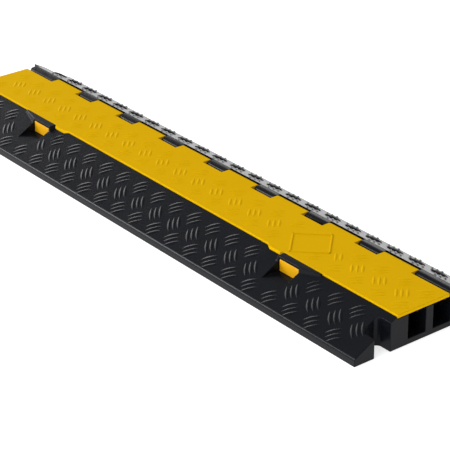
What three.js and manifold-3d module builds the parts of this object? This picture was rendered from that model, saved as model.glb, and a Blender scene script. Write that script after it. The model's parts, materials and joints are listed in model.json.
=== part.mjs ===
// Two-channel floor cord cover: a rubber ramp body, a hinged plastic lid over the cord
// channels, the rod that the lid turns on and two latch hooks under the lid's front edge.
// Millimetres, +Z up. Cords run along X, -Y is the latch side and +Y the hinge side.
// The origin is the middle of the ramp body, on the floor.

import * as THREE from "three";
import { mergeVertices } from "three/addons/utils/BufferGeometryUtils.js";
import Module from "manifold-3d";

const wasm = await Module();
wasm.setup();

// Ramp body
const BODY_LENGTH = 1000;
const BODY_WIDTH = 250;
const TOE_HEIGHT = 11;
const FRONT_CREST_Y = -53.5; // top edge of the ramp on the latch side
const BACK_CREST_Y = 58; // top edge of the ramp on the hinge side
const BACK_CREST_DROP = 0.5; // below the lid's top
const FLOOR_THICKNESS = 8.5;

// Cord channels
const CHANNEL_WIDTH = 31;
const DIVIDER_WIDTH = 13;
const DIVIDER_SETBACK = 4; // the divider stands this far towards the hinge

// Lid
const COVER_HEIGHT = 50; // top of the lid above the floor
const LID_THICKNESS = 5;
const LID_RISE = 2; // how far the lid stands above the front ramp's top edge
const LID_EDGE_CLEARANCE = 0.5;
const SEAT_CLEARANCE = 0.3;
const LID_OPENING = 0; // degrees, up to 95

// Lifting lugs on the lid's front edge
const LUG_LENGTH = 35;
const LUG_REACH = 4.5;
const LUG_INNER_TAPER = 9;
const LUG_OUTER_TAPER = 4;
const LUG_ROOT = 6; // overlap with the lid's plate
const LUG_TO_LATCH = 3; // from a lug to the latch window

// Hinge: lid fingers between the body's knuckles, turning on one rod
const BARREL_RADIUS = 6.5;
const BARREL_CLEARANCE = 0.6;
const CREST_CLEARANCE = 1.1; // from a barrel to the back ramp's top edge
const FINGER_COUNT = 8;
const NOTCH_LENGTH = 45;
const END_NOTCH_LENGTH = 73;
const NOTCH_BACK_CLEARANCE = 5.2;
const FINGER_ROOT = 6; // overlap with the lid's plate
const KNUCKLE_SIDE_CLEARANCE = 0.8;
const ROD_RADIUS = 2.5;
const ROD_CLEARANCE = 0.3;
const ROD_END_RECESS = 6;

// Latches: a window in a hood of rubber, and the hook that shows through it
const LATCH_FROM_END = 200; // window's middle to the body's end
const WINDOW_LENGTH = 42;
const POCKET_FLOOR_HEIGHT = 26;
const HOOD_DEPTH = 11.5; // from the front ramp's top edge out to the window
const HOOD_DROP = 0.5; // hood's top below the lid's
const HOOD_TAPER_LENGTH = 34;
const HOOD_TAPER_END_DEPTH = 3;
const HOOD_DRAFT = 2.5;
const HOOD_ROOT_HEIGHT = 12; // how far the hood's block reaches down into the ramp
const LINTEL_THICKNESS = 4.5;
const HOOK_CLEARANCE = 0.5;
const HOOK_PLATE_THICKNESS = 6;
const HOOK_FLANGE_THICKNESS = 4.7;
const HOOK_FLANGE_REACH = 15; // under the lid, from its front edge
const HOOK_BACK_ROOM = 3; // space behind the plate for it to flex

// End joints: sockets at +X, tongues at -X
const SOCKET_DEPTH = 25;
const SOCKET_WIDTH = 27;
const SOCKET_FROM_TOE = 34;
const SOCKET_CORNER_RADIUS = 8;
const JOINT_CLEARANCE = 0.75;

// Shared
const OVERCUT = 2; // how far a cutting solid runs past the face it opens
const ROUND_STEPS = 20; // sides of a barrel, bore or trough
const CORNER_STEPS = 8; // sides of a rounded corner

// Places that follow from the sizes
const halfLength = BODY_LENGTH / 2;
const halfWidth = BODY_WIDTH / 2;
const frontCrestHeight = COVER_HEIGHT - LID_RISE;
const backCrestHeight = COVER_HEIGHT - BACK_CREST_DROP;
const lidUnderside = COVER_HEIGHT - LID_THICKNESS;
const seatHeight = lidUnderside - SEAT_CLEARANCE;
const lidFrontY = FRONT_CREST_Y + LID_EDGE_CLEARANCE;
const hingeY = BACK_CREST_Y - CREST_CLEARANCE - BARREL_RADIUS;
const hingeZ = COVER_HEIGHT - BARREL_RADIUS;
const dividerFrontY = DIVIDER_SETBACK - DIVIDER_WIDTH / 2;
const dividerBackY = DIVIDER_SETBACK + DIVIDER_WIDTH / 2;
const fingerLength =
  (BODY_LENGTH - 2 * END_NOTCH_LENGTH - (FINGER_COUNT - 1) * NOTCH_LENGTH) / FINGER_COUNT;
const latchX = halfLength - LATCH_FROM_END;
const windowY = FRONT_CREST_Y - HOOD_DEPTH;
const hoodTop = COVER_HEIGHT - HOOD_DROP;
const lintelUnderside = hoodTop - LINTEL_THICKNESS;
const hookFrontY = windowY + HOOK_CLEARANCE;
const hookFlangeEndY = lidFrontY + HOOK_FLANGE_REACH;
const socketY = halfWidth - SOCKET_FROM_TOE - SOCKET_WIDTH / 2;

const rubber = new THREE.MeshStandardMaterial({ color: 0x24262b, roughness: 0.55, metalness: 0 });
const lidYellow = new THREE.MeshStandardMaterial({ color: 0xe6b00f, roughness: 0.45, metalness: 0 });
const hookYellow = new THREE.MeshStandardMaterial({ color: 0xf0a818, roughness: 0.45, metalness: 0 });
const steel = new THREE.MeshStandardMaterial({ color: 0x8c8f92, roughness: 0.35, metalness: 1 });

/** Shape through a list of [a, b] points. */
function outline(points) {
  return new THREE.Shape(points.map(([a, b]) => new THREE.Vector2(a, b)));
}

/** Rectangle shape between two corners. */
function rectangle(a0, b0, a1, b1) {
  return outline([[a0, b0], [a1, b0], [a1, b1], [a0, b1]]);
}

/** Circle shape. */
function circle(a, b, radius) {
  return new THREE.Shape().absarc(a, b, radius, 0, 2 * Math.PI, false);
}

/** Closed solid, ready to be joined or cut, from a three.js geometry. */
function solidOf(geometry) {
  geometry.deleteAttribute("normal");
  geometry.deleteAttribute("uv");
  const merged = mergeVertices(geometry);
  return new wasm.Manifold(new wasm.Mesh({
    numProp: 3,
    vertProperties: new Float32Array(merged.attributes.position.array),
    triVerts: new Uint32Array(merged.index.array),
  }));
}

/** Solid with a section in the YZ plane, from x0 to x1. */
function alongX(section, x0, x1) {
  const geometry = new THREE.ExtrudeGeometry(section, {
    depth: x1 - x0,
    bevelEnabled: false,
    curveSegments: ROUND_STEPS,
  });
  const sectionToBody = new THREE.Matrix4().makeBasis(
    new THREE.Vector3(0, 1, 0),
    new THREE.Vector3(0, 0, 1),
    new THREE.Vector3(1, 0, 0),
  );
  geometry.applyMatrix4(sectionToBody);
  geometry.translate(x0, 0, 0);
  return solidOf(geometry);
}

/** Solid with a plan in the XY plane, from z0 up to z1. */
function upright(plan, z0, z1) {
  const geometry = new THREE.ExtrudeGeometry(plan, {
    depth: z1 - z0,
    bevelEnabled: false,
    curveSegments: CORNER_STEPS,
  });
  geometry.translate(0, 0, z0);
  return solidOf(geometry);
}

/** Union of a list of solids. */
function joined(solids) {
  return solids.reduce((sum, solid) => sum.add(solid));
}

/** Named mesh of a finished solid, in a frame that starts at the given point. */
function meshOf(name, solid, material, origin = new THREE.Vector3()) {
  const { numProp, vertProperties, triVerts } = solid.getMesh();
  const corners = new THREE.BufferAttribute(new Float32Array(vertProperties), numProp);
  const geometry = new THREE.BufferGeometry();
  geometry.setAttribute("position", corners);
  geometry.setIndex(new THREE.BufferAttribute(new Uint32Array(triVerts), 1));
  geometry.translate(-origin.x, -origin.y, -origin.z);
  geometry.computeVertexNormals();
  const mesh = new THREE.Mesh(geometry, material);
  mesh.name = name;
  return mesh;
}

/** Start and end of each lid finger along X. */
function fingerSpans() {
  const first = -halfLength + END_NOTCH_LENGTH;
  return Array.from({ length: FINGER_COUNT }, (_, i) => {
    const start = first + i * (fingerLength + NOTCH_LENGTH);
    return [start, start + fingerLength];
  });
}

/** Corners of a lug's plan, grown by a clearance, for the latch on one side (-1 or 1). */
function lugPlan(side, clearance) {
  const outer = latchX - WINDOW_LENGTH / 2 - LUG_TO_LATCH;
  const inner = outer - LUG_LENGTH;
  const reach = LUG_REACH + clearance;
  const points = [
    [inner - clearance, 0],
    [inner - clearance + LUG_INNER_TAPER, -reach],
    [outer + clearance - LUG_OUTER_TAPER, -reach],
    [outer + clearance, 0],
  ];
  return points.map(([x, y]) => [side * x, lidFrontY + y]);
}

/** Outline of the body without channels: two ramps and the top between them. */
function rampSection() {
  return outline([
    [-halfWidth, 0],
    [halfWidth, 0],
    [halfWidth, TOE_HEIGHT],
    [BACK_CREST_Y, backCrestHeight],
    [FRONT_CREST_Y, frontCrestHeight],
    [-halfWidth, TOE_HEIGHT],
  ]);
}

/** Flat-topped hood over one latch window, tapering away towards the body's end. */
function hood(side) {
  const near = latchX - WINDOW_LENGTH / 2 - HOOD_DRAFT;
  const far = latchX + WINDOW_LENGTH / 2;
  const points = [
    [near, FRONT_CREST_Y + OVERCUT],
    [near, windowY],
    [far, windowY],
    [far + HOOD_TAPER_LENGTH, FRONT_CREST_Y - HOOD_TAPER_END_DEPTH],
    [far + HOOD_TAPER_LENGTH, FRONT_CREST_Y + OVERCUT],
  ];
  const plan = outline(points.map(([x, y]) => [side * x, y]));
  const geometry = new THREE.ExtrudeGeometry(plan, {
    depth: OVERCUT,
    bevelThickness: HOOD_ROOT_HEIGHT,
    bevelSize: HOOD_DRAFT,
    bevelSegments: 1,
  });
  geometry.translate(0, 0, hoodTop - HOOD_ROOT_HEIGHT - OVERCUT);
  return solidOf(geometry);
}

/** Pocket in the ramp before a window, and the room behind it for the hook. */
function latchRoom(side) {
  const x0 = side * latchX - WINDOW_LENGTH / 2;
  const x1 = side * latchX + WINDOW_LENGTH / 2;
  const above = COVER_HEIGHT + OVERCUT;
  const pocket = rectangle(-halfWidth - OVERCUT, POCKET_FLOOR_HEIGHT, windowY, above);
  const plateBackY = hookFrontY + HOOK_PLATE_THICKNESS + HOOK_BACK_ROOM;
  const flangeFloor = seatHeight - HOOK_FLANGE_THICKNESS - HOOK_CLEARANCE;
  const room = outline([
    [windowY - OVERCUT, POCKET_FLOOR_HEIGHT],
    [plateBackY, POCKET_FLOOR_HEIGHT],
    [plateBackY, flangeFloor],
    [hookFlangeEndY + HOOK_CLEARANCE, flangeFloor],
    [hookFlangeEndY + HOOK_CLEARANCE, lintelUnderside],
    [windowY - OVERCUT, lintelUnderside],
  ]);
  return alongX(pocket, x0, x1).add(alongX(room, x0, x1));
}

/** Bar that becomes the knuckles: round towards the lid, and falling to the crest behind. */
function knuckleBar() {
  const section = new THREE.Shape()
    .moveTo(hingeY, hingeZ - BARREL_RADIUS)
    .lineTo(BACK_CREST_Y, hingeZ - BARREL_RADIUS)
    .lineTo(BACK_CREST_Y, backCrestHeight)
    .lineTo(hingeY, COVER_HEIGHT)
    .absarc(hingeY, hingeZ, BARREL_RADIUS, Math.PI / 2, 1.5 * Math.PI, false);
  return alongX(section, -halfLength, halfLength);
}

/** Round-bottomed troughs that the lid's fingers turn in. */
function fingerTroughs() {
  const section = new THREE.Shape()
    .moveTo(hingeY - BARREL_RADIUS - BARREL_CLEARANCE, COVER_HEIGHT + OVERCUT)
    .lineTo(hingeY - BARREL_RADIUS - BARREL_CLEARANCE, hingeZ)
    .absarc(hingeY, hingeZ, BARREL_RADIUS + BARREL_CLEARANCE, Math.PI, 2 * Math.PI, false)
    .lineTo(BACK_CREST_Y, hingeZ)
    .lineTo(BACK_CREST_Y, COVER_HEIGHT + OVERCUT);
  return joined(fingerSpans().map(([start, end]) => (
    alongX(section, start - KNUCKLE_SIDE_CLEARANCE, end + KNUCKLE_SIDE_CLEARANCE)
  )));
}

/** Plan of a socket or tongue that opens towards +X: round inner corners at x = 0. */
function jointPlan(x, y, reach, width, radius) {
  return new THREE.Shape()
    .moveTo(x + reach, y - width / 2)
    .lineTo(x + reach, y + width / 2)
    .lineTo(x + radius, y + width / 2)
    .absarc(x + radius, y + width / 2 - radius, radius, Math.PI / 2, Math.PI, false)
    .absarc(x + radius, y - width / 2 + radius, radius, Math.PI, 1.5 * Math.PI, false);
}

/** Socket at the +X end that takes the next unit's tongue. */
function socket(side) {
  const x = halfLength - SOCKET_DEPTH;
  const plan = jointPlan(
    x, side * socketY, SOCKET_DEPTH + OVERCUT, SOCKET_WIDTH, SOCKET_CORNER_RADIUS,
  );
  return upright(plan, -OVERCUT, COVER_HEIGHT);
}

/** Tongue at the -X end, with the ramp's own slope on top. */
function tongue(side) {
  const reach = SOCKET_DEPTH - JOINT_CLEARANCE;
  const width = SOCKET_WIDTH - 2 * JOINT_CLEARANCE;
  const plan = jointPlan(
    -halfLength - reach, side * socketY, reach + OVERCUT, width, SOCKET_CORNER_RADIUS,
  );
  const ramp = alongX(rampSection(), -halfLength - SOCKET_DEPTH, -halfLength + OVERCUT);
  return upright(plan, 0, COVER_HEIGHT).intersect(ramp);
}

/** Ramp body, moulded as one piece. */
function bodySolid() {
  const past = halfLength + OVERCUT;
  const above = COVER_HEIGHT + OVERCUT;
  const channelFrontY = dividerFrontY - CHANNEL_WIDTH;
  const channelBackY = dividerBackY + CHANNEL_WIDTH;
  const lidRecess = rectangle(FRONT_CREST_Y, seatHeight, BACK_CREST_Y, above);
  const frontChannel = rectangle(channelFrontY, FLOOR_THICKNESS, dividerFrontY, above);
  const backChannel = rectangle(dividerBackY, FLOOR_THICKNESS, channelBackY, above);
  const lugPocket = (side) => upright(
    outline(lugPlan(side, LID_EDGE_CLEARANCE)), seatHeight, COVER_HEIGHT + OVERCUT,
  );
  const bore = alongX(circle(hingeY, hingeZ, ROD_RADIUS + ROD_CLEARANCE), -past, past);

  return alongX(rampSection(), -halfLength, halfLength)
    .add(hood(-1))
    .add(hood(1))
    .subtract(alongX(lidRecess, -past, past))
    .subtract(alongX(frontChannel, -past, past))
    .subtract(alongX(backChannel, -past, past))
    .subtract(lugPocket(-1))
    .subtract(lugPocket(1))
    .subtract(latchRoom(-1))
    .subtract(latchRoom(1))
    .subtract(socket(-1))
    .subtract(socket(1))
    .add(tongue(-1))
    .add(tongue(1))
    .add(knuckleBar())
    .subtract(fingerTroughs())
    .subtract(bore);
}

/** Lid: one plate with lugs in front and fingers with round barrels at the hinge. */
function lidSolid() {
  const notchY = hingeY - BARREL_RADIUS - NOTCH_BACK_CLEARANCE;
  const fingers = fingerSpans();
  const plate = rectangle(-halfLength, lidFrontY, halfLength, notchY);
  const plates = upright(plate, lidUnderside, COVER_HEIGHT);
  const lug = (side) => {
    const corners = lugPlan(side, 0);
    const root = [...corners].reverse().map(([x]) => [x, lidFrontY + LUG_ROOT]);
    return upright(outline([...corners, ...root]), lidUnderside, COVER_HEIGHT);
  };
  const finger = ([start, end]) => {
    const blade = rectangle(notchY - FINGER_ROOT, lidUnderside, hingeY, COVER_HEIGHT);
    const barrel = circle(hingeY, hingeZ, BARREL_RADIUS);
    return alongX(blade, start, end).add(alongX(barrel, start, end));
  };
  const bore = circle(hingeY, hingeZ, ROD_RADIUS + ROD_CLEARANCE);

  return joined([plates, lug(-1), lug(1), ...fingers.map(finger)])
    .subtract(alongX(bore, -halfLength - OVERCUT, halfLength + OVERCUT));
}

/** Latch hook: a flange under the lid, and a plate that fills the window. */
function hookSolid(side) {
  const length = WINDOW_LENGTH - 2 * HOOK_CLEARANCE;
  const noseTop = lintelUnderside - HOOK_CLEARANCE;
  const noseBackY = lidFrontY - 2 * LID_EDGE_CLEARANCE;
  const plateBackY = hookFrontY + HOOK_PLATE_THICKNESS;
  const flangeUnderside = seatHeight - HOOK_FLANGE_THICKNESS;
  const section = outline([
    [hookFrontY, POCKET_FLOOR_HEIGHT + HOOK_CLEARANCE],
    [plateBackY, POCKET_FLOOR_HEIGHT + HOOK_CLEARANCE],
    [plateBackY, flangeUnderside],
    [hookFlangeEndY, flangeUnderside],
    [hookFlangeEndY, seatHeight],
    [noseBackY, seatHeight],
    [noseBackY, noseTop],
    [hookFrontY, noseTop],
  ]);
  return alongX(section, side * latchX - length / 2, side * latchX + length / 2);
}

/** Hinge rod, a little shorter than the body. */
function rodSolid() {
  const reach = halfLength - ROD_END_RECESS;
  return alongX(circle(hingeY, hingeZ, ROD_RADIUS), -reach, reach);
}

const hinge = new THREE.Vector3(0, hingeY, hingeZ);
const lidGroup = new THREE.Group();
lidGroup.position.copy(hinge);
lidGroup.rotation.x = -THREE.MathUtils.degToRad(LID_OPENING);
lidGroup.add(
  meshOf("lid", lidSolid(), lidYellow, hinge),
  meshOf("latch_hook_left", hookSolid(-1), hookYellow, hinge),
  meshOf("latch_hook_right", hookSolid(1), hookYellow, hinge),
);

const cordCover = new THREE.Group();
cordCover.add(
  meshOf("ramp_body", bodySolid(), rubber),
  meshOf("hinge_rod", rodSolid(), steel),
  lidGroup,
);

export default cordCover;
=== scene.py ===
"""Looks of a two-channel floor cord cover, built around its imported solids.

Each moulded piece is a copy of its solid with rounded edges. The ramp body and the lid also gain
the raised tread bars that cover both ramps and the lid's top. Everything is in metres, in the
solids' own frame: X along the cords, -Y the latch side, +Y the hinge side, Z up from the floor.
"""

from __future__ import annotations

import json
import logging
import math
from collections.abc import Callable, Iterator
from dataclasses import dataclass
from enum import Enum

import bmesh
import bpy
from mathutils import Matrix, Vector

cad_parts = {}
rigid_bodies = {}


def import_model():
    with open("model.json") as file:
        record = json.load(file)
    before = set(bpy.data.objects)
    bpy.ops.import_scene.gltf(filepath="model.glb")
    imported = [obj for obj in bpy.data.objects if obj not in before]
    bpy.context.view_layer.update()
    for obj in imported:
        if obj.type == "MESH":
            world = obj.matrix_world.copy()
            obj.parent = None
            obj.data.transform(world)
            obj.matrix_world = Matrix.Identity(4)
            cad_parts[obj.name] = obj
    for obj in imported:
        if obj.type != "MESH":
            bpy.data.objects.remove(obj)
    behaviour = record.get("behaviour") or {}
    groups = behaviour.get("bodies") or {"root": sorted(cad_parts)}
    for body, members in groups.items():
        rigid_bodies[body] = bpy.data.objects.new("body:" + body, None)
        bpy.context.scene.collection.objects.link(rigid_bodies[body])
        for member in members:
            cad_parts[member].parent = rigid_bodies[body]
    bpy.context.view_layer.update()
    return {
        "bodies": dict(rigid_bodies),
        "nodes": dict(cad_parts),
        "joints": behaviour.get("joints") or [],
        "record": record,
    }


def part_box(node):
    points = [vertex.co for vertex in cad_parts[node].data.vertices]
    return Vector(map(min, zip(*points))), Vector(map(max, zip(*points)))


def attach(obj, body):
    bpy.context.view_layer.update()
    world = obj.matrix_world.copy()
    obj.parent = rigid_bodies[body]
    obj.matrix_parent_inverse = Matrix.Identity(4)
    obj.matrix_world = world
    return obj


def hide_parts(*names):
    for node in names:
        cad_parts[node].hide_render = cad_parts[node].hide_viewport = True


log = logging.getLogger("cord_cover")

MM = 0.001
WELD_DISTANCE = 1e-6
SHORT_EDGE = 0.6 * MM  # edges below this would fold over when their neighbours are rounded
FLAT_ANGLE = math.radians(1.0)
SHARP_ANGLE = math.radians(32.0)  # edges that turn by more than this are rounded
CREASE_ANGLE = math.radians(40.0)  # edges that turn by more than this are shaded as sharp

# The colour sockets of a Mix node, which share their names with its other sockets
MIX_A = 6
MIX_B = 7
MIX_RESULT = 2


class Lean(Enum):
    """Angle of a tread group's bars, from +X towards the way up the surface."""

    RISING = 45.0
    FALLING = -45.0


@dataclass(frozen=True)
class Skin:
    """Surface of a moulded piece: its colours, gloss and fine grain.

    Attributes:
        name: Material name.
        color: Main linear colour.
        mottle: Colour of the faint cloudy patches.
        roughness: Middle roughness.
        roughness_spread: How far roughness wanders up and down.
        grain_size: Size of the mould's fine grain, in metres.
        grain_depth: Depth of that grain, in metres.
        patch_size: Size of the cloudy patches, in metres.
        specular: Specular level.
        metallic: Metallic value.
    """

    name: str
    color: tuple[float, float, float]
    mottle: tuple[float, float, float]
    roughness: float
    roughness_spread: float
    grain_size: float
    grain_depth: float
    patch_size: float
    specular: float = 0.5
    metallic: float = 0.0

    def material(self) -> bpy.types.Material:
        """Builds the material.

        Returns:
            The new material, with the shared skin group feeding its shader.
        """
        made = bpy.data.materials.new(self.name)
        made.use_nodes = True
        tree = made.node_tree
        shader = tree.nodes["Principled BSDF"]
        shader.inputs["Specular IOR Level"].default_value = self.specular
        shader.inputs["Metallic"].default_value = self.metallic
        skin = tree.nodes.new("ShaderNodeGroup")
        skin.node_tree = moulded_skin_group()
        skin.inputs["Color"].default_value = (*self.color, 1.0)
        skin.inputs["Mottle"].default_value = (*self.mottle, 1.0)
        skin.inputs["Roughness"].default_value = self.roughness
        skin.inputs["Roughness Spread"].default_value = self.roughness_spread
        skin.inputs["Grain Scale"].default_value = 1.0 / self.grain_size
        skin.inputs["Grain Depth"].default_value = self.grain_depth
        skin.inputs["Patch Scale"].default_value = 1.0 / self.patch_size
        tree.links.new(skin.outputs["Color"], shader.inputs["Base Color"])
        tree.links.new(skin.outputs["Roughness"], shader.inputs["Roughness"])
        tree.links.new(skin.outputs["Normal"], shader.inputs["Normal"])
        return made


RUBBER = Skin(
    name="black_rubber",
    color=(0.0045, 0.0052, 0.0075),
    mottle=(0.0060, 0.0067, 0.0090),
    roughness=0.26,
    roughness_spread=0.06,
    grain_size=0.7 * MM,
    grain_depth=0.03 * MM,
    patch_size=35 * MM,
    specular=0.13,
)
LID_PLASTIC = Skin(
    name="lid_yellow",
    color=(0.75, 0.43, 0.001),
    mottle=(0.79, 0.46, 0.002),
    roughness=0.5,
    roughness_spread=0.06,
    grain_size=0.9 * MM,
    grain_depth=0.03 * MM,
    patch_size=60 * MM,
    specular=0.005,
)
HOOK_PLASTIC = Skin(
    name="hook_yellow",
    color=(0.80, 0.39, 0.003),
    mottle=(0.84, 0.44, 0.006),
    roughness=0.4,
    roughness_spread=0.05,
    grain_size=0.9 * MM,
    grain_depth=0.02 * MM,
    patch_size=25 * MM,
    specular=0.2,
)
ROD_STEEL = Skin(
    name="rod_steel",
    color=(0.50, 0.51, 0.52),
    mottle=(0.42, 0.42, 0.43),
    roughness=0.32,
    roughness_spread=0.08,
    grain_size=0.4 * MM,
    grain_depth=0.01 * MM,
    patch_size=20 * MM,
    metallic=1.0,
)


def moulded_skin_group() -> bpy.types.NodeTree:
    """Shader group for a moulded surface, built on first use.

    Returns:
        A group with faint patches of colour, wandering roughness and a fine grain.
    """
    name = "moulded_skin"
    if name in bpy.data.node_groups:
        return bpy.data.node_groups[name]
    group = bpy.data.node_groups.new(name, "ShaderNodeTree")
    face = group.interface
    for socket, kind in (
        ("Color", "NodeSocketColor"),
        ("Mottle", "NodeSocketColor"),
        ("Roughness", "NodeSocketFloat"),
        ("Roughness Spread", "NodeSocketFloat"),
        ("Grain Scale", "NodeSocketFloat"),
        ("Grain Depth", "NodeSocketFloat"),
        ("Patch Scale", "NodeSocketFloat"),
    ):
        face.new_socket(socket, in_out="INPUT", socket_type=kind)
    face.new_socket("Color", in_out="OUTPUT", socket_type="NodeSocketColor")
    face.new_socket("Roughness", in_out="OUTPUT", socket_type="NodeSocketFloat")
    face.new_socket("Normal", in_out="OUTPUT", socket_type="NodeSocketVector")

    nodes, links = group.nodes, group.links
    inputs = nodes.new("NodeGroupInput")
    outputs = nodes.new("NodeGroupOutput")
    place = nodes.new("ShaderNodeTexCoord")

    patches = nodes.new("ShaderNodeTexNoise")
    patches.inputs["Detail"].default_value = 4.0
    links.new(place.outputs["Object"], patches.inputs["Vector"])
    links.new(inputs.outputs["Patch Scale"], patches.inputs["Scale"])

    blend = nodes.new("ShaderNodeMix")
    blend.data_type = "RGBA"
    links.new(patches.outputs["Fac"], blend.inputs["Factor"])
    links.new(inputs.outputs["Color"], blend.inputs[MIX_A])
    links.new(inputs.outputs["Mottle"], blend.inputs[MIX_B])
    links.new(blend.outputs[MIX_RESULT], outputs.inputs["Color"])

    grain = nodes.new("ShaderNodeTexNoise")
    grain.inputs["Detail"].default_value = 2.0
    links.new(place.outputs["Object"], grain.inputs["Vector"])
    links.new(inputs.outputs["Grain Scale"], grain.inputs["Scale"])

    centred = nodes.new("ShaderNodeMath")
    centred.operation = "SUBTRACT"
    centred.inputs[1].default_value = 0.5
    links.new(patches.outputs["Fac"], centred.inputs[0])
    wander = nodes.new("ShaderNodeMath")
    wander.operation = "MULTIPLY_ADD"
    links.new(centred.outputs[0], wander.inputs[0])
    links.new(inputs.outputs["Roughness Spread"], wander.inputs[1])
    links.new(inputs.outputs["Roughness"], wander.inputs[2])
    links.new(wander.outputs[0], outputs.inputs["Roughness"])

    bump = nodes.new("ShaderNodeBump")
    links.new(grain.outputs["Fac"], bump.inputs["Height"])
    links.new(inputs.outputs["Grain Depth"], bump.inputs["Distance"])
    links.new(bump.outputs["Normal"], outputs.inputs["Normal"])
    return group


@dataclass(frozen=True)
class Surface:
    """A flat surface that tread is laid on.

    Attributes:
        origin: Point at x = 0 on the surface's lower edge.
        up: Unit vector across the surface, away from the lower edge.
        facing: 1 where +X runs to the right for someone who looks up the surface, else -1.
    """

    origin: Vector
    up: Vector
    facing: int

    def placed(self, x: float, s: float, turn: float) -> Matrix:
        """Frame of something that lies on the surface.

        Args:
            x: Place along the cords.
            s: Distance up from the lower edge.
            turn: Angle from +X towards the way up, in radians.

        Returns:
            A matrix whose Z axis is the surface's outward normal.
        """
        right = Vector((self.facing, 0, 0))
        axes = Matrix((right, self.up, right.cross(self.up))).transposed().to_4x4()
        spot = Matrix.Translation(self.origin + Vector((x, 0, 0)) + self.up * s)
        return spot @ axes @ Matrix.Rotation(turn * self.facing, 4, "Z")


@dataclass(frozen=True)
class TreadBar:
    """One raised bar: pointed at both ends, with two gentle sides that meet in a soft ridge.

    Attributes:
        length: Tip to tip.
        width: Across the middle.
        height: Above the surface.
        root: Depth below the surface.
        crown: How round its section is, from 1 for flat sides.
        sides: Facets round the bar's section, above and below.
        rings: Facets along the bar.
    """

    length: float = 25.5 * MM
    width: float = 6.2 * MM
    height: float = 0.9 * MM
    root: float = 0.4 * MM
    crown: float = 1.2
    sides: int = 16
    rings: int = 8

    def spots(self, place: Matrix) -> list[Vector]:
        """Both tips and the middle of a bar that lies at a place."""
        return [place @ Vector((k * self.length / 2, 0, 0)) for k in (-1, 0, 1)]

    def pattern(self) -> bpy.types.Mesh:
        """Builds the bar once, lying along X with Z out of the surface.

        Returns:
            The bar's mesh, ready to be copied into place.
        """
        bar = bmesh.new()
        bmesh.ops.create_uvsphere(
            bar,
            u_segments=self.sides,
            v_segments=self.rings,
            radius=1.0,
            matrix=Matrix.Rotation(math.pi / 2, 4, "Y"),
        )
        for vert in bar.verts:
            along, across, above = vert.co
            lens = 1.0 - along**2
            girth = math.hypot(across, above)
            side = across / girth if girth > WELD_DISTANCE else 0.0
            rise = self.height if above > 0 else -self.root
            vert.co = Vector((
                along * self.length / 2,
                side * lens * self.width / 2,
                rise * lens * (1.0 - abs(side) ** self.crown),
            ))
        data = bpy.data.meshes.new("tread_bar")
        bar.to_mesh(data)
        bar.free()
        return data


@dataclass(frozen=True)
class TreadRow:
    """A row of tread groups along a surface.

    Attributes:
        distance: From the surface's lower edge to the row's middle.
        lean: Which way its bars lean.
        phase: Place of one group along the cords.
    """

    distance: float
    lean: Lean
    phase: float


@dataclass(frozen=True)
class Tread:
    """Groups of parallel bars in rows, each row leaning the other way from its neighbours.

    Attributes:
        bar: The bar that is repeated.
        rows: The rows, from the surface's lower edge up.
        pitch: Distance between the groups of a row.
        bars: Bars in a group.
        spacing: Distance between a group's bars.
        reach: How far from the middle the groups may go.
    """

    bar: TreadBar
    rows: tuple[TreadRow, ...]
    pitch: float = 43.3 * MM
    bars: int = 3
    spacing: float = 7.4 * MM
    reach: float = 486 * MM

    def places(self) -> Iterator[tuple[float, float, Lean]]:
        """Goes through the groups, row by row.

        Yields:
            Each group's place along the cords, its distance up the surface and its lean.
        """
        count = int(self.reach / self.pitch) + 1
        for row in self.rows:
            for k in range(-count, count + 1):
                x = row.phase + k * self.pitch
                if abs(x) <= self.reach:
                    yield x, row.distance, row.lean

    def stamp(
        self,
        mesh: bmesh.types.BMesh,
        surface: Surface,
        free: Callable[[Vector], bool],
    ) -> int:
        """Lays the tread on a surface, group by group.

        A bar is left out where it would run off the plain surface, and a group is left out
        where no more than half its bars would stand.

        Args:
            mesh: Mesh that receives the bars.
            surface: Where the bars lie.
            free: Says whether a point lies on plain surface.

        Returns:
            How many bars were laid.
        """
        laid = 0
        pattern = self.bar.pattern()
        for x, s, lean in self.places():
            group = surface.placed(x, s, math.radians(lean.value))
            standing = []
            for i in range(self.bars):
                offset = (i - (self.bars - 1) / 2) * self.spacing
                place = group @ Matrix.Translation((0, offset, 0))
                if all(free(spot) for spot in self.bar.spots(place)):
                    standing.append(place)
            if len(standing) > self.bars // 2:
                for place in standing:
                    copy = pattern.copy()
                    copy.transform(place)
                    mesh.from_mesh(copy)
                    bpy.data.meshes.remove(copy)
                laid += len(standing)
        bpy.data.meshes.remove(pattern)
        return laid


def rounded(
    mesh: bmesh.types.BMesh,
    edges: list[bmesh.types.BMEdge],
    width: float,
    segments: int,
) -> None:
    """Rounds some edges of a mesh.

    Args:
        mesh: The mesh, which is changed.
        edges: The edges to round.
        width: Size of the rounding.
        segments: Facets across it.
    """
    bmesh.ops.bevel(
        mesh,
        geom=edges,
        offset=width,
        offset_type="OFFSET",
        segments=segments,
        profile=0.5,
        affect="EDGES",
        clamp_overlap=False,
        material=-1,
    )


def joined_up(node: bpy.types.Object) -> bmesh.types.BMesh:
    """Copy of a solid with its flat faces joined up.

    Args:
        node: The solid's object, which stays as it is.

    Returns:
        The new mesh.
    """
    mesh = bmesh.new()
    mesh.from_mesh(node.data)
    bmesh.ops.remove_doubles(mesh, verts=mesh.verts, dist=WELD_DISTANCE)
    bmesh.ops.dissolve_limit(
        mesh, angle_limit=FLAT_ANGLE, verts=mesh.verts, edges=mesh.edges
    )
    bmesh.ops.remove_doubles(mesh, verts=mesh.verts, dist=SHORT_EDGE)
    return mesh


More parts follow.
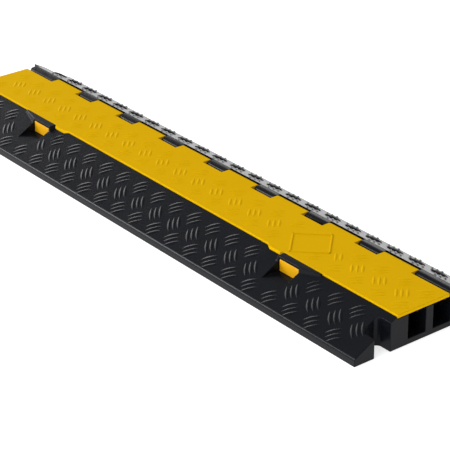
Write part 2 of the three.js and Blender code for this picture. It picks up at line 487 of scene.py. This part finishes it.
def soften(mesh: bmesh.types.BMesh, width: float, segments: int) -> None:
    """Rounds every edge that is still sharp.

    Args:
        mesh: The mesh, which is changed.
        width: Size of the rounding.
        segments: Facets across it.
    """
    sharp = [
        e for e in mesh.edges if e.is_manifold and e.calc_face_angle() > SHARP_ANGLE
    ]
    rounded(mesh, sharp, width, segments)


def finished(
    mesh: bmesh.types.BMesh, name: str, material: bpy.types.Material
) -> bpy.types.Object:
    """Turns a mesh into an object of the scene.

    Args:
        mesh: The finished mesh, which is freed.
        name: The piece's name.
        material: Its material.

    Returns:
        The new object, at the origin.
    """
    data = bpy.data.meshes.new(name)
    mesh.to_mesh(data)
    mesh.free()
    data.polygons.foreach_set("use_smooth", [True] * len(data.polygons))
    data.set_sharp_from_angle(angle=CREASE_ANGLE)
    data.materials.append(material)
    piece = bpy.data.objects.new(name, data)
    bpy.context.scene.collection.objects.link(piece)
    weighted = piece.modifiers.new("even_shading", "WEIGHTED_NORMAL")
    weighted.keep_sharp = True
    return piece


@dataclass
class RampBody:
    """The rubber body: both ramps, the channels, the knuckles and the end joints.

    Attributes:
        half_length: From the middle to an end face.
        half_width: From the middle to a toe.
        toe_height: Height of the upright face at each toe.
        toe_round: Rounding of a toe's upper edge.
        toe_facets: Facets across that rounding.
        edge: Rounding of all other edges.
        edge_facets: Facets across it.
        front_crest: The front ramp's upper edge, as Y and Z.
        back_crest: The back ramp's upper edge, as Y and Z.
        window_x: From the middle to a latch window's middle.
        window_length: Length of a window.
        pocket_floor: Height of the floor of a window's pocket.
        pocket_margin: How far the tread keeps from a pocket.
        hood_front: Where a hood meets the ramp, as Y.
        hood_start: From a window to the hood's inner end.
        hood_taper: Length of a hood's outer taper.
        hood_taper_end: Where the hood meets the ramp at the taper's end, as Y.
        socket_depth: Depth of an end socket.
        socket_near: The side of a socket that is nearer the middle.
        socket_far: The side of a socket that is nearer the toe.
        end_margin: How far the tread keeps from an end face.
        rows: Tread rows of either ramp.
        front_bar: Tread bar of the latch side.
        back_bar: Tread bar of the hinge side.
    """

    half_length: float = 500 * MM
    half_width: float = 125 * MM
    toe_height: float = 11 * MM
    toe_round: float = 3 * MM
    toe_facets: int = 4
    edge: float = 0.9 * MM
    edge_facets: int = 2
    front_crest: tuple[float, float] = (-53.5 * MM, 48 * MM)
    back_crest: tuple[float, float] = (58 * MM, 49.5 * MM)
    window_x: float = 300 * MM
    window_length: float = 42 * MM
    pocket_floor: float = 26 * MM
    pocket_margin: float = 1 * MM
    hood_front: float = -67.5 * MM
    hood_start: float = 4 * MM
    hood_taper: float = 34 * MM
    hood_taper_end: float = -59 * MM
    socket_depth: float = 25 * MM
    socket_near: float = 64 * MM
    socket_far: float = 91 * MM
    end_margin: float = 2 * MM
    rows: tuple[TreadRow, ...] = (
        TreadRow(15 * MM, Lean.RISING, 12.5 * MM),
        TreadRow(37.5 * MM, Lean.FALLING, 35.5 * MM),
        TreadRow(60 * MM, Lean.RISING, 14 * MM),
    )
    front_bar: TreadBar = TreadBar()
    back_bar: TreadBar = TreadBar(width=5.0 * MM, height=2.2 * MM, crown=2.0)

    def ramp(self, side: int) -> Surface:
        """Surface of one ramp.

        Args:
            side: -1 for the latch side, 1 for the hinge side.

        Returns:
            The surface, with its lower edge along the toe.
        """
        toe = Vector((0, side * self.half_width, self.toe_height))
        crest = Vector((0, *(self.front_crest if side < 0 else self.back_crest)))
        return Surface(toe, (crest - toe).normalized(), -side)

    def on_toe(self, spot: Vector) -> bool:
        """Whether a point lies on the upper edge of either toe."""
        out = abs(abs(spot.y) - self.half_width)
        return out < WELD_DISTANCE and abs(spot.z - self.toe_height) < WELD_DISTANCE

    def under_hood(self, spot: Vector) -> bool:
        """Whether a hood or its window's pocket takes the place of a point.

        Args:
            spot: A point of the ramp.

        Returns:
            True where the ramp's plain surface is cut away or covered.
        """
        past = abs(spot.x) - self.window_x
        half = self.window_length / 2
        if spot.y > 0 or not -half - self.hood_start < past < half + self.hood_taper:
            return False
        beside = abs(past) < half + self.pocket_margin
        in_pocket = beside and spot.z > self.pocket_floor
        along = max(0.0, (past - half) / self.hood_taper)
        front = self.hood_front + along * (self.hood_taper_end - self.hood_front)
        return in_pocket or spot.y > front

    def is_free(self, spot: Vector) -> bool:
        """Whether a point lies on the ramp's plain surface.

        Args:
            spot: A point of the ramp.

        Returns:
            True where a tread bar may lie.
        """
        from_end = self.half_length - abs(spot.x)
        beside = self.socket_near < abs(spot.y) < self.socket_far
        in_socket = spot.x > 0 and from_end < self.socket_depth and beside
        if in_socket or from_end <= self.end_margin:
            return False
        return not self.under_hood(spot)

    def build(self, frame: dict) -> list[bpy.types.Object]:
        """Makes the body.

        Args:
            frame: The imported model.

        Returns:
            The finished piece.
        """
        mesh = joined_up(frame["nodes"]["ramp_body"])
        toes = [e for e in mesh.edges if all(self.on_toe(v.co) for v in e.verts)]
        rounded(mesh, toes, self.toe_round, self.toe_facets)
        soften(mesh, self.edge, self.edge_facets)
        for side, bar in ((-1, self.front_bar), (1, self.back_bar)):
            laid = Tread(bar, self.rows).stamp(mesh, self.ramp(side), self.is_free)
            log.info("ramp %+d: %d tread bars", side, laid)
        piece = finished(mesh, "rubber_ramp", RUBBER.material())
        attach(piece, "base")
        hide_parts("ramp_body")
        return [piece]


@dataclass
class Lid:
    """The hinged lid, with its tread and the blank raised panel.

    Attributes:
        lug_reach: How far the lifting lugs stand out of the lid's front edge.
        edge: Rounding of the edges.
        edge_facets: Facets across it.
        panel_x: The panel's middle, along the cords.
        panel_y: The panel's middle, across them.
        panel_side: Side of the square panel, which stands on its corner.
        panel_margin: How far the tread keeps from the panel.
        rib_width: Width of the panel's raised border.
        rib_height: Height of the border.
        rib_edge: Rounding of the border's edges.
        rib_facets: Facets across it.
        tread: The tread on the lid's top.
    """

    lug_reach: float = 4.5 * MM
    edge: float = 0.8 * MM
    edge_facets: int = 3
    panel_x: float = 279 * MM
    panel_y: float = -8 * MM
    panel_side: float = 54 * MM
    panel_margin: float = 3 * MM
    rib_width: float = 2.4 * MM
    rib_height: float = 0.8 * MM
    rib_edge: float = 0.5 * MM
    rib_facets: int = 2
    tread: Tread = Tread(
        bar=TreadBar(width=5.0 * MM, height=0.7 * MM, crown=1.5),
        rows=(
            TreadRow(21 * MM, Lean.RISING, 5.5 * MM),
            TreadRow(44 * MM, Lean.FALLING, 27.5 * MM),
            TreadRow(66 * MM, Lean.RISING, 5.5 * MM),
        ),
    )

    def top(self, low: Vector, high: Vector) -> Surface:
        """Surface of the lid's top.

        Args:
            low: Lower corner of the lid's box.
            high: Upper corner of the lid's box.

        Returns:
            The surface, with its lower edge along the lid's plain front edge.
        """
        front = Vector((0, low.y + self.lug_reach, high.z))
        return Surface(front, Vector((0, 1, 0)), 1)

    def is_free(self, spot: Vector) -> bool:
        """Whether a point of the lid's top lies clear of the panel."""
        apart = abs(spot.x - self.panel_x) + abs(spot.y - self.panel_y)
        return apart > self.panel_side / math.sqrt(2) + self.panel_margin

    def panel_rib(self, mesh: bmesh.types.BMesh, height: float) -> None:
        """Adds the raised border of the blank panel.

        Args:
            mesh: Mesh that receives the border.
            height: The lid's top.
        """
        middle = Matrix.Translation((self.panel_x, self.panel_y, height))
        out = Matrix.Translation((0, self.panel_side / 2, 0))
        size = Matrix.Diagonal((
            self.panel_side + self.rib_width, self.rib_width, 2 * self.rib_height, 1
        ))
        for quarter in range(4):
            turn = Matrix.Rotation(math.radians(45 + 90 * quarter), 4, "Z")
            made = bmesh.ops.create_cube(mesh, size=1.0)["verts"]
            bmesh.ops.transform(mesh, matrix=middle @ turn @ out @ size, verts=made)
            edges = {e for v in made for e in v.link_edges}
            rounded(mesh, list(edges), self.rib_edge, self.rib_facets)

    def build(self, frame: dict) -> list[bpy.types.Object]:
        """Makes the lid.

        Args:
            frame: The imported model.

        Returns:
            The finished piece.
        """
        low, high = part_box("lid")
        mesh = joined_up(frame["nodes"]["lid"])
        soften(mesh, self.edge, self.edge_facets)
        laid = self.tread.stamp(mesh, self.top(low, high), self.is_free)
        log.info("lid: %d tread bars", laid)
        self.panel_rib(mesh, high.z)
        piece = finished(mesh, "yellow_lid", LID_PLASTIC.material())
        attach(piece, "lid")
        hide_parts("lid")
        return [piece]


@dataclass
class Hooks:
    """The two latch hooks that show through the windows.

    Attributes:
        edge: Rounding of the edges.
        edge_facets: Facets across it.
    """

    edge: float = 0.9 * MM
    edge_facets: int = 3

    def build(self, frame: dict) -> list[bpy.types.Object]:
        """Makes both hooks.

        Args:
            frame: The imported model.

        Returns:
            The finished pieces.
        """
        material = HOOK_PLASTIC.material()
        hooks = []
        for side in ("left", "right"):
            node = f"latch_hook_{side}"
            mesh = joined_up(frame["nodes"][node])
            soften(mesh, self.edge, self.edge_facets)
            piece = finished(mesh, f"hook_{side}", material)
            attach(piece, "lid")
            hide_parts(node)
            hooks.append(piece)
        return hooks


@dataclass
class HingeRod:
    """The steel rod that the lid turns on.

    Attributes:
        sides: Facets round the rod.
        edge: Rounding of its rims.
        edge_facets: Facets across it.
    """

    sides: int = 32
    edge: float = 0.5 * MM
    edge_facets: int = 2

    def build(self, frame: dict) -> list[bpy.types.Object]:
        """Makes the rod.

        Args:
            frame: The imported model, not used because the rod is made anew to fit its box.

        Returns:
            The finished piece.
        """
        low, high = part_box("hinge_rod")
        middle = (low + high) / 2
        mesh = bmesh.new()
        turned = Matrix.Translation(middle) @ Matrix.Rotation(math.pi / 2, 4, "Y")
        bmesh.ops.create_cone(
            mesh,
            cap_ends=True,
            segments=self.sides,
            radius1=(high.z - low.z) / 2,
            radius2=(high.z - low.z) / 2,
            depth=high.x - low.x,
            matrix=turned,
        )
        soften(mesh, self.edge, self.edge_facets)
        piece = finished(mesh, "steel_rod", ROD_STEEL.material())
        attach(piece, "base")
        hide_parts("hinge_rod")
        return [piece]


@dataclass(frozen=True)
class Softbox:
    """A rectangular soft light.

    Attributes:
        name: The light's name.
        spot: Where it hangs.
        size: Its width and height.
        glow: Its power for each square metre, in watts.
    """

    name: str
    spot: tuple[float, float, float]
    size: tuple[float, float]
    glow: float

    def hang(self, aim: Vector) -> None:
        """Hangs the light.

        Args:
            aim: What it faces.
        """
        data = bpy.data.lights.new(self.name, "AREA")
        data.shape = "RECTANGLE"
        data.size, data.size_y = self.size
        data.energy = self.glow * self.size[0] * self.size[1]
        made = bpy.data.objects.new(self.name, data)
        made.location = self.spot
        made.rotation_mode = "QUATERNION"
        made.rotation_quaternion = (aim - Vector(self.spot)).to_track_quat("-Z", "Y")
        made.visible_camera = False
        bpy.context.scene.collection.objects.link(made)


@dataclass
class Studio:
    """White floor, soft light and the photograph's camera, which was fitted to its edges.

    Attributes:
        yaw: The camera's turn about Z from a look along +Y, in degrees.
        pitch: How far it looks down, in degrees.
        roll: Its turn about the way it looks, in degrees.
        aim: The point in the middle of its view.
        distance: From that point to the camera.
        lens: Its focal length, in millimetres.
        sensor: Its sensor's width, in millimetres.
        reach: How far it sees.
        floor_size: Side of the square floor.
        floor_drop: How far the floor lies under the part, so that the two don't share a plane.
        floor_tone: The floor's grey.
        floor_roughness: The floor's roughness.
        floor_glow: Light that the floor gives off, which keeps it as white as the photograph's.
        air_glow: Even light from all round.
        light_aim: What the soft lights face.
        softboxes: The soft lights: the key in front, a tall one on the left front that draws the
            line on the toe, a wide one on the left that the tread bars mirror, a dim one behind.
    """

    yaw: float = 52.05
    pitch: float = 26.67
    roll: float = -0.556
    aim: tuple[float, float, float] = (0.08346, -0.00377, 0.0)
    distance: float = 2.7736
    lens: float = 153.7
    sensor: float = 36.0
    reach: float = 100.0
    floor_size: float = 60.0
    floor_drop: float = 0.05 * MM
    floor_tone: float = 0.9
    floor_roughness: float = 0.8
    floor_glow: float = 0.66
    air_glow: float = 0.38
    light_aim: tuple[float, float, float] = (0.0, 0.0, 0.05)
    softboxes: tuple[Softbox, ...] = (
        Softbox("key", (0.6, -2.6, 1.9), (2.4, 1.4), 13.5),
        Softbox("toe_screen", (-6.1, -5.0, 2.9), (2.2, 3.0), 48),
        Softbox("left_screen", (-8.0, 0.3, 2.1), (6.4, 4.2), 13),
        Softbox("back_screen", (-0.9, 3.4, 0.75), (4.0, 1.5), 3.4),
    )

    def camera(self) -> None:
        """Places the camera."""
        yaw, pitch, roll = (math.radians(a) for a in (self.yaw, self.pitch, self.roll))
        ahead = Vector((
            -math.sin(yaw) * math.cos(pitch),
            math.cos(yaw) * math.cos(pitch),
            -math.sin(pitch),
        ))
        level = Vector((math.cos(yaw), math.sin(yaw), 0))
        upright = level.cross(ahead)
        right = level * math.cos(roll) + upright * math.sin(roll)
        up = upright * math.cos(roll) - level * math.sin(roll)
        data = bpy.data.cameras.new("camera")
        data.lens = self.lens
        data.sensor_width = self.sensor
        data.clip_end = self.reach
        made = bpy.data.objects.new("camera", data)
        turn = Matrix((right, up, -ahead)).transposed().to_4x4()
        made.matrix_world = Matrix.Translation(
            Vector(self.aim) - ahead * self.distance
        ) @ turn
        bpy.context.scene.collection.objects.link(made)
        bpy.context.scene.camera = made

    def floor(self) -> None:
        """Lays the floor."""
        mesh = bmesh.new()
        bmesh.ops.create_grid(mesh, x_segments=1, y_segments=1, size=self.floor_size / 2)
        data = bpy.data.meshes.new("floor")
        mesh.to_mesh(data)
        mesh.free()
        material = bpy.data.materials.new("white_floor")
        material.use_nodes = True
        shader = material.node_tree.nodes["Principled BSDF"]
        shader.inputs["Base Color"].default_value = (*[self.floor_tone] * 3, 1)
        shader.inputs["Roughness"].default_value = self.floor_roughness
        shader.inputs["Emission Color"].default_value = (1, 1, 1, 1)
        shader.inputs["Emission Strength"].default_value = self.floor_glow
        data.materials.append(material)
        made = bpy.data.objects.new("floor", data)
        made.location.z = -self.floor_drop
        bpy.context.scene.collection.objects.link(made)

    def light(self) -> None:
        """Lights the set."""
        world = bpy.data.worlds.new("studio_air")
        world.use_nodes = True
        sky = world.node_tree.nodes["Background"]
        sky.inputs["Color"].default_value = (1, 1, 1, 1)
        sky.inputs["Strength"].default_value = self.air_glow
        bpy.context.scene.world = world
        for softbox in self.softboxes:
            softbox.hang(Vector(self.light_aim))
        bpy.context.scene.view_settings.view_transform = "Standard"

    def build(self) -> None:
        """Sets up the studio."""
        self.camera()
        self.floor()
        self.light()


def main() -> None:
    """Builds the cord cover piece by piece."""
    logging.basicConfig(level=logging.INFO, format="%(name)s: %(message)s")
    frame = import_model()
    for assembly in (RampBody(), Lid(), Hooks(), HingeRod()):
        for piece in assembly.build(frame):
            log.info("%s: %d faces", piece.name, len(piece.data.polygons))
    Studio().build()


if __name__ == "__main__":
    main()
